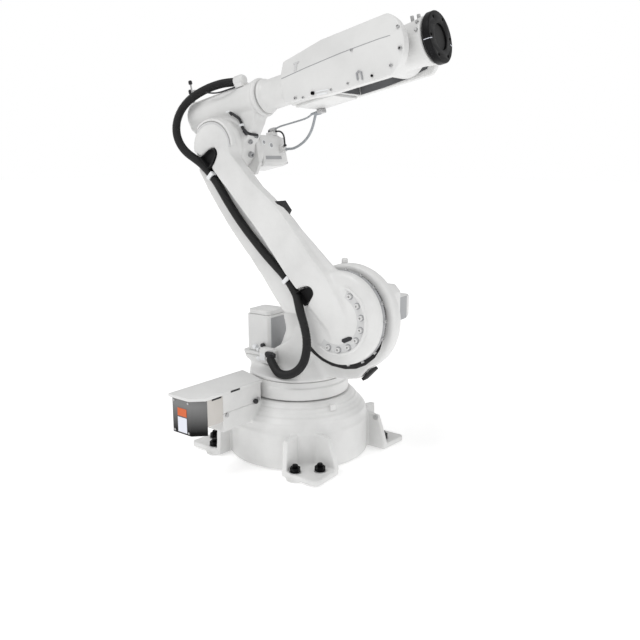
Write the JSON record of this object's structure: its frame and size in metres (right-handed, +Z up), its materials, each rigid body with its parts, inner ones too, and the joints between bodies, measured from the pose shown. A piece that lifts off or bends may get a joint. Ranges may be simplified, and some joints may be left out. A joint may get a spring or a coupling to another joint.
{
  "type": "industrial robot arm",
  "caption": "Floor-standing jointed robot arm with a drum base, turning shoulder, side-mounted lower arm, forked forearm and black tool flange, dressed with a black hose.",
  "frame": {"origin": "on the floor plane, on the turret's vertical axis, at the middle of the floor bolt pattern", "axes": "+Z up, +X away from the rear connector box, +Y to the left when looking along +X"},
  "size_m": [1.0333, 1.3033, 1.8744],
  "materials": {
    "enamel": "light grey-white enamel on castings, satin",
    "motor_enamel": "light grey enamel on motors, satin",
    "box_enamel": "warm grey sheet steel enamel, satin",
    "stainless": "stainless sheet, brushed",
    "orange_tag": "plain orange tag, matt",
    "white_tag": "plain white tag, matt",
    "black_oxide": "black oxide finished steel, satin",
    "rubber": "moulded black rubber, matt",
    "hose": "black corrugated hose, matt",
    "clamp": "white clamp, satin",
    "grey_cable": "grey cable sheath, matt",
    "black_plastic": "black moulded plastic, matt",
    "zinc": "zinc plated steel",
    "dark_seal": "dark gear case ring, satin"
  },
  "bodies": {
    "base": {"base_casting": "enamel", "rear_bridge": "enamel", "rear_box": "box_enamel", "connector_cover": "stainless", "rear_box_lid": "enamel", "tag_orange": "orange_tag", "tag_white": "white_tag", "axis_one_stop": "enamel"},
    "turret": {"turret_ring": "enamel", "turret_frame": "enamel", "axis_one_motor_flange": "enamel", "axis_one_motor": "motor_enamel", "axis_one_motor_cap": "motor_enamel", "axis_two_gear": "dark_seal", "axis_two_adapter": "enamel", "axis_two_motor": "motor_enamel", "axis_two_motor_cap": "motor_enamel", "hose_bracket": "enamel", "lifting_stub": "enamel", "turret_buffer": "rubber", "harness_lower_loop": "hose"},
    "lower_arm": {"lower_arm_casting": "enamel", "arm_buffer": "rubber", "harness_run": "hose", "clamp_low": "clamp", "clamp_high": "clamp", "harness_upper_loop": "hose"},
    "elbow": {"elbow_housing": "enamel", "neck_ring": "enamel", "axis_three_adapter": "enamel", "axis_three_motor": "motor_enamel", "axis_three_motor_cap": "motor_enamel", "breather_post": "zinc", "hose_socket": "enamel", "motor_cable": "grey_cable", "cable_glands": "black_plastic", "cable_bridge": "grey_cable"},
    "forearm": {"forearm_frame": "enamel", "near_cover": "enamel", "far_cover": "enamel", "belly_cover": "enamel", "cable_clip": "black_plastic"},
    "wrist": {"wrist_housing": "enamel", "wrist_fittings": "zinc"},
    "tool_flange": {"tool_flange": "black_oxide"}
  },
  "joints": [
    {"name": "axis_one", "type": "hinge", "parent": "base", "child": "turret", "pos_m": [0, 0, 0.68], "axis": [0, 0, 1], "range_deg": [-83.5, 256.5]},
    {"name": "axis_two", "type": "hinge", "parent": "turret", "child": "lower_arm", "pos_m": [0.01954, -0.3194, 0.68], "axis": [0.9981, 0.061, 0], "range_deg": [-21, 124], "deforming": ["harness_lower_loop"]},
    {"name": "axis_three", "type": "hinge", "parent": "lower_arm", "child": "elbow", "pos_m": [-0.02181, 0.35663, 1.38136], "axis": [-0.9981, -0.061, 0], "range_deg": [-38, 212], "deforming": ["harness_upper_loop"]},
    {"name": "axis_four", "type": "hinge", "parent": "elbow", "child": "forearm", "pos_m": [-0.02403, 0.39294, 1.55253], "axis": [0.0597, -0.9763, 0.2079], "range_deg": [-300, 300], "deforming": ["cable_bridge"]},
    {"name": "axis_five", "type": "hinge", "parent": "forearm", "child": "wrist", "pos_m": [0.02911, -0.47598, 1.73757], "axis": [0.9981, 0.061, 0], "range_deg": [-120, 120]},
    {"name": "axis_six", "type": "hinge", "parent": "wrist", "child": "tool_flange", "pos_m": [0.04106, -0.67125, 1.77916], "axis": [0.0597, -0.9763, 0.2079], "range_deg": [-300, 300]}
  ]
}
